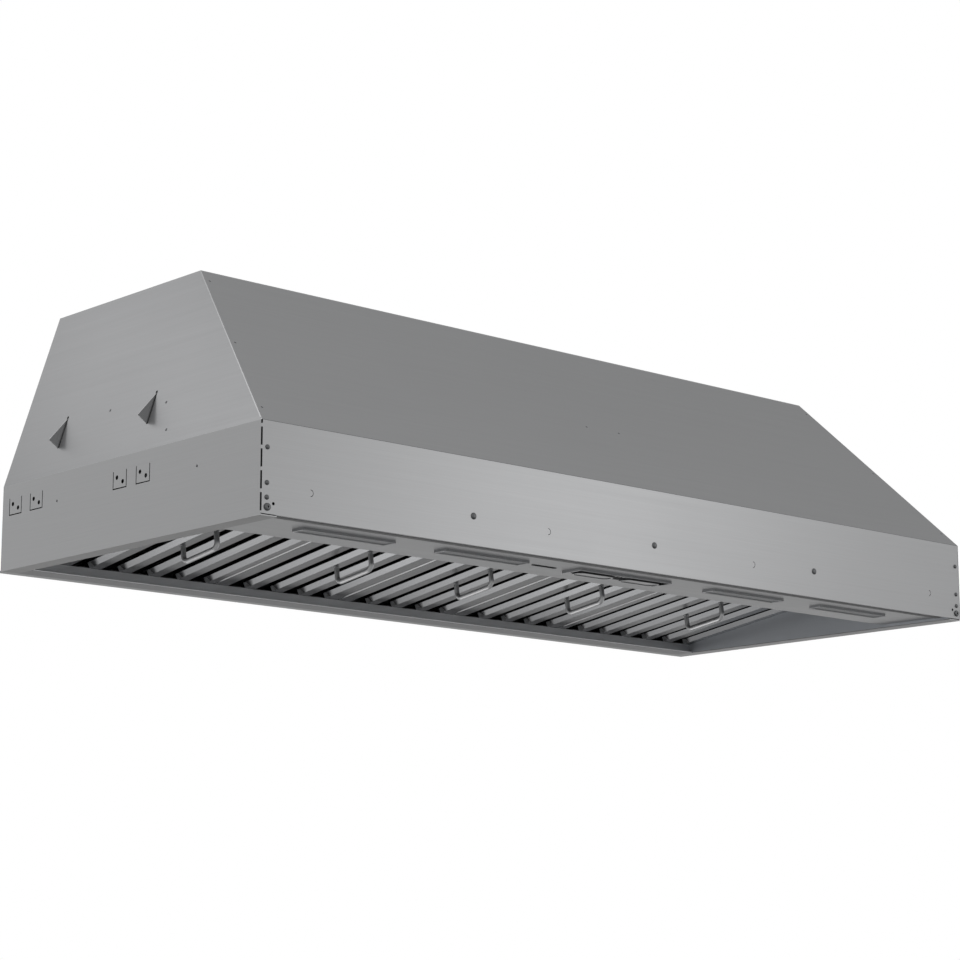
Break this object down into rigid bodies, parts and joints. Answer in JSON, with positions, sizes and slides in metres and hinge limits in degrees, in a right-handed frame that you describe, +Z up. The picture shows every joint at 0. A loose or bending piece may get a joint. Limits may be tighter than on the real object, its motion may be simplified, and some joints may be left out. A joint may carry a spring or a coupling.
{
  "type": "range hood insert",
  "caption": "Brushed steel range hood insert with baffle filters, underside lamps, push controls, side catches, a blower and a round duct collar.",
  "frame": {"origin": "under the middle of the insert, level with the bottom rim", "axes": "+Z up, -Y toward the cook and the front face, +X to the right seen from the front"},
  "size_m": [1.4838, 0.6504, 0.429],
  "materials": {
    "canopy_steel": "brushed satin",
    "liner_steel": "satin",
    "filter_steel": "satin",
    "bright_steel": "polished",
    "zinc_sheet": "galvanised",
    "lens": "frosted",
    "black_plastic": "gloss",
    "board": "matt",
    "motor_enamel": "satin enamel"
  },
  "bodies": {
    "canopy": {"skirt_shell": "canopy_steel", "front_slope_panel": "canopy_steel", "left_end_panel": "canopy_steel", "right_end_panel": "canopy_steel", "rear_panel": "canopy_steel", "top_panel": "canopy_steel", "front_strip": "canopy_steel", "rear_rail": "canopy_steel", "control_pan": "canopy_steel", "left_liner": "liner_steel", "right_liner": "liner_steel", "front_rail": "zinc_sheet", "lamp_driver": "zinc_sheet", "junction_box": "zinc_sheet", "junction_box_cover": "zinc_sheet", "duct_collar": "zinc_sheet", "blower_housing": "zinc_sheet", "motor_bracket": "zinc_sheet", "catch_brackets": "zinc_sheet", "damper_pin": "bright_steel", "catch_pins": "bright_steel", "catch_springs": "bright_steel", "face_fasteners": "bright_steel", "control_board": "board", "cable_gland": "black_plastic", "control_plate": "black_plastic", "lamp_housing_1": "zinc_sheet", "lamp_lens_1": "lens", "lamp_housing_2": "zinc_sheet", "lamp_lens_2": "lens", "lamp_housing_3": "zinc_sheet", "lamp_lens_3": "lens", "lamp_housing_4": "zinc_sheet", "lamp_lens_4": "lens", "motor": "motor_enamel"},
    "fan_pad": {"fan_pad": "bright_steel"},
    "light_pad": {"light_pad": "bright_steel"},
    "front_damper_flap": {"front_damper_flap": "zinc_sheet"},
    "rear_damper_flap": {"rear_damper_flap": "zinc_sheet"},
    "rotor": {"blower_wheel": "motor_enamel", "motor_shaft": "bright_steel"},
    "button_1": {"button_1": "black_plastic"},
    "filter_1": {"filter_1": "filter_steel", "filter_handle_1": "bright_steel"},
    "button_2": {"button_2": "black_plastic"},
    "filter_2": {"filter_2": "filter_steel", "filter_handle_2": "bright_steel"},
    "button_3": {"button_3": "black_plastic"},
    "filter_3": {"filter_3": "filter_steel", "filter_handle_3": "bright_steel"},
    "button_4": {"button_4": "black_plastic"},
    "filter_4": {"filter_4": "filter_steel", "filter_handle_4": "bright_steel"},
    "button_5": {"button_5": "black_plastic"},
    "filter_5": {"filter_5": "filter_steel", "filter_handle_5": "bright_steel"},
    "catch_1": {"catch_1": "bright_steel"},
    "catch_2": {"catch_2": "bright_steel"},
    "catch_3": {"catch_3": "bright_steel"},
    "catch_4": {"catch_4": "bright_steel"}
  },
  "joints": [
    {"name": "fan_pad_press", "type": "slide", "parent": "canopy", "child": "fan_pad", "axis": [0, 0, 1], "range_m": [0, 0.0012], "stiffness_N_per_m": 700, "springref_m": -0.0004},
    {"name": "light_pad_press", "type": "slide", "parent": "canopy", "child": "light_pad", "axis": [0, 0, 1], "range_m": [0, 0.0012], "stiffness_N_per_m": 700, "springref_m": -0.0004},
    {"name": "button_1_press", "type": "slide", "parent": "canopy", "child": "button_1", "axis": [0, 0, 1], "range_m": [0, 0.0012], "stiffness_N_per_m": 500, "springref_m": -0.0004},
    {"name": "button_2_press", "type": "slide", "parent": "canopy", "child": "button_2", "axis": [0, 0, 1], "range_m": [0, 0.0012], "stiffness_N_per_m": 500, "springref_m": -0.0004},
    {"name": "button_3_press", "type": "slide", "parent": "canopy", "child": "button_3", "axis": [0, 0, 1], "range_m": [0, 0.0012], "stiffness_N_per_m": 500, "springref_m": -0.0004},
    {"name": "button_4_press", "type": "slide", "parent": "canopy", "child": "button_4", "axis": [0, 0, 1], "range_m": [0, 0.0012], "stiffness_N_per_m": 500, "springref_m": -0.0004},
    {"name": "button_5_press", "type": "slide", "parent": "canopy", "child": "button_5", "axis": [0, 0, 1], "range_m": [0, 0.0012], "stiffness_N_per_m": 500, "springref_m": -0.0004},
    {"name": "filter_1_slide", "type": "slide", "parent": "canopy", "child": "filter_1", "axis": [0, -0.989, 0.1478], "range_m": [0, 0.022]},
    {"name": "filter_2_slide", "type": "slide", "parent": "canopy", "child": "filter_2", "axis": [0, -0.989, 0.1478], "range_m": [0, 0.022]},
    {"name": "filter_3_slide", "type": "slide", "parent": "canopy", "child": "filter_3", "axis": [0, -0.989, 0.1478], "range_m": [0, 0.022]},
    {"name": "filter_4_slide", "type": "slide", "parent": "canopy", "child": "filter_4", "axis": [0, -0.989, 0.1478], "range_m": [0, 0.022]},
    {"name": "filter_5_slide", "type": "slide", "parent": "canopy", "child": "filter_5", "axis": [0, -0.989, 0.1478], "range_m": [0, 0.022]},
    {"name": "catch_1_pivot", "type": "hinge", "parent": "canopy", "child": "catch_1", "pos_m": [-0.70424, -0.0388, 0.21804], "axis": [0, -1, 0], "range_deg": [0, 18], "stiffness_Nm_per_rad": 0.6, "springref_deg": -20.05},
    {"name": "catch_2_pivot", "type": "hinge", "parent": "canopy", "child": "catch_2", "pos_m": [-0.70424, 0.1872, 0.21804], "axis": [0, -1, 0], "range_deg": [0, 18], "stiffness_Nm_per_rad": 0.6, "springref_deg": -20.05},
    {"name": "catch_3_pivot", "type": "hinge", "parent": "canopy", "child": "catch_3", "pos_m": [0.70424, -0.0388, 0.21804], "axis": [0, 1, 0], "range_deg": [0, 18], "stiffness_Nm_per_rad": 0.6, "springref_deg": -20.05},
    {"name": "catch_4_pivot", "type": "hinge", "parent": "canopy", "child": "catch_4", "pos_m": [0.70424, 0.1872, 0.21804], "axis": [0, 1, 0], "range_deg": [0, 18], "stiffness_Nm_per_rad": 0.6, "springref_deg": -20.05},
    {"name": "front_damper_hinge", "type": "hinge", "parent": "canopy", "child": "front_damper_flap", "pos_m": [0, 0.1612, 0.4115], "axis": [-1, 0, 0], "range_deg": [0, 75]},
    {"name": "rear_damper_hinge", "type": "hinge", "parent": "canopy", "child": "rear_damper_flap", "pos_m": [0, 0.1612, 0.4115], "axis": [1, 0, 0], "range_deg": [0, 75]},
    {"name": "rotor_spin", "type": "hinge", "parent": "canopy", "child": "rotor", "pos_m": [0, 0.1072, 0.237], "axis": [1, 0, 0], "continuous": true}
  ]
}
